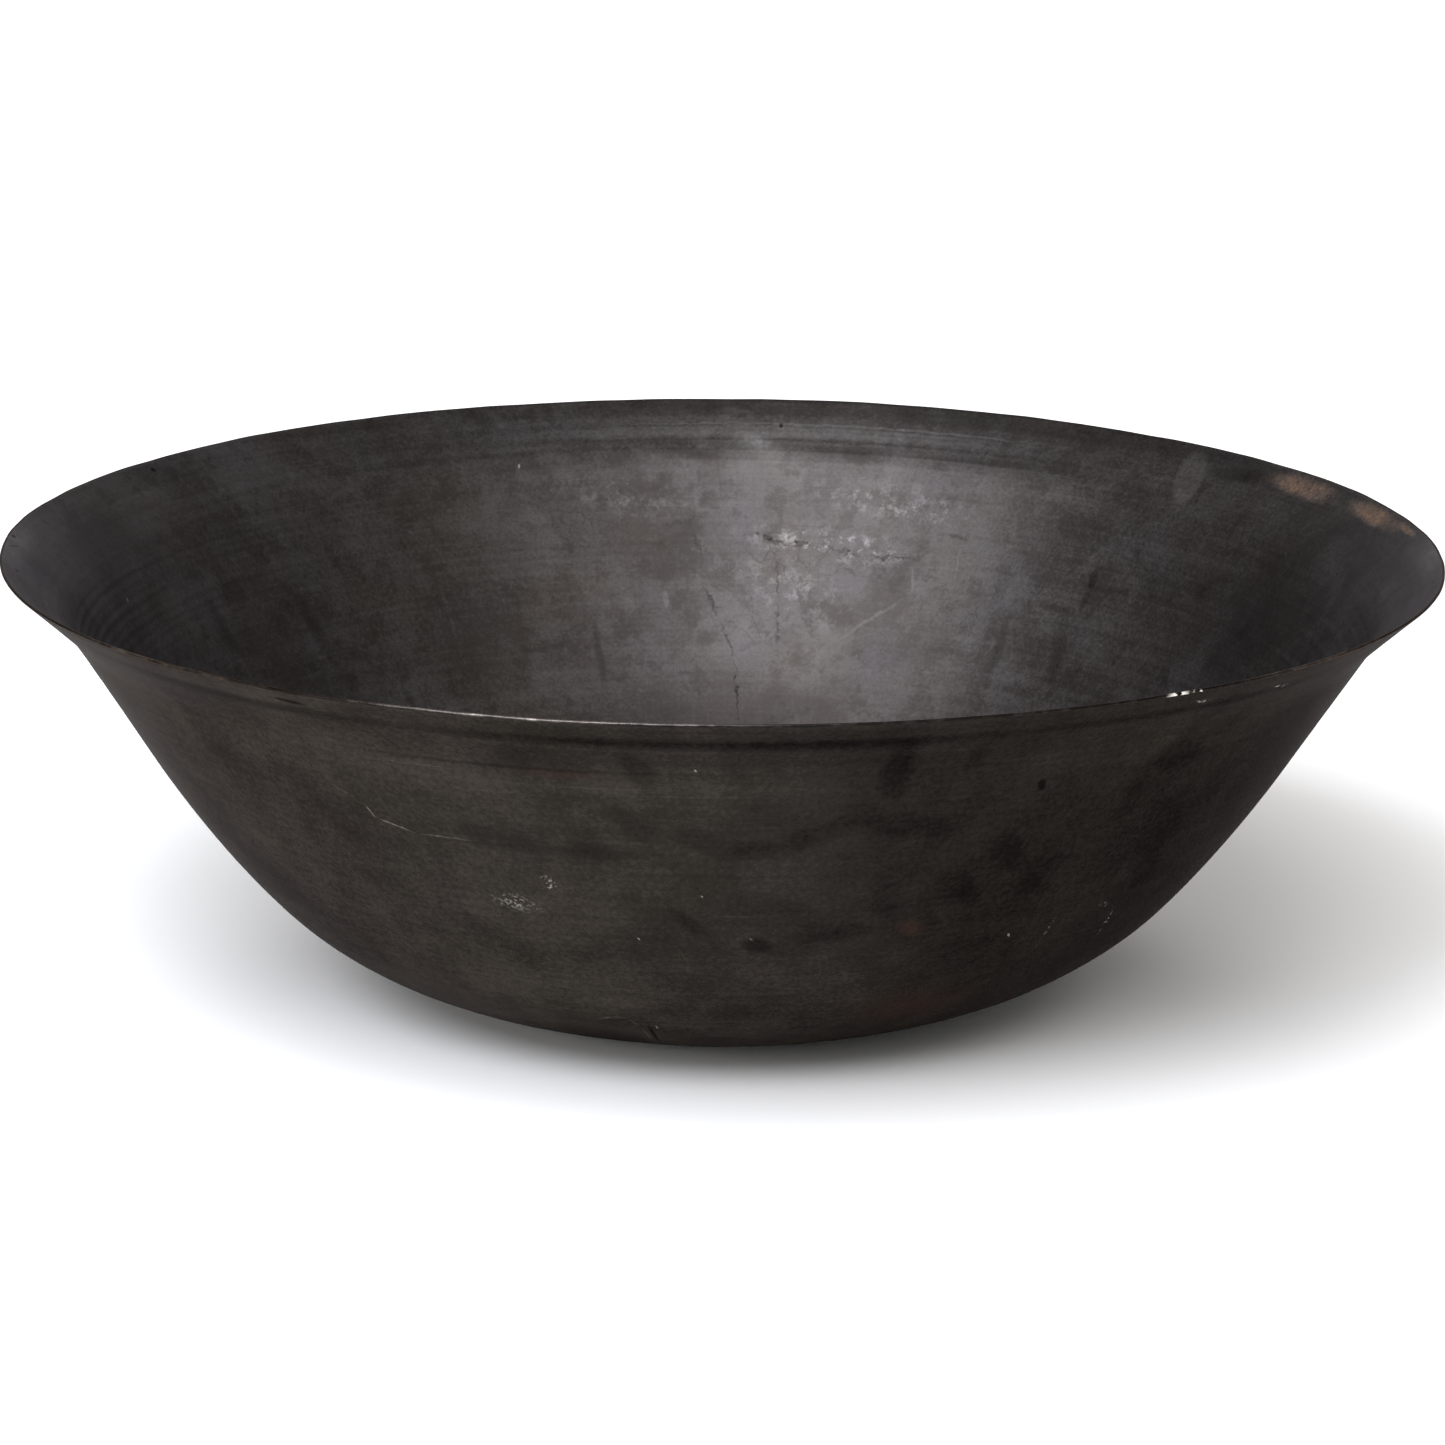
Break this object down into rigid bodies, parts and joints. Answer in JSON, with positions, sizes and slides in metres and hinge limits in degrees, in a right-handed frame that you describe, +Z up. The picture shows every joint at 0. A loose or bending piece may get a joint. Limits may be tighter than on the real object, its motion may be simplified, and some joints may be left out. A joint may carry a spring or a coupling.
{
  "type": "gold pan",
  "caption": "Deep round pan spun from one disc of dark oiled sheet steel, with a flat bottom, steep curved wall and turned-out rim, for washing gold-bearing gravel by hand.",
  "frame": {"origin": "middle of the flat bottom's underside, on the pan's own axis", "axes": "+Z up along the pan's axis, out of its mouth; the pan is round, so +X and +Y are any two level directions at right angles"},
  "size_m": [0.4569, 0.457, 0.1419],
  "materials": {
    "oiled_steel": "satin, darkened by heat, oil and use, with a bare worn rim edge"
  },
  "bodies": {
    "root": {"pan_shell": "oiled_steel"}
  },
  "joints": []
}
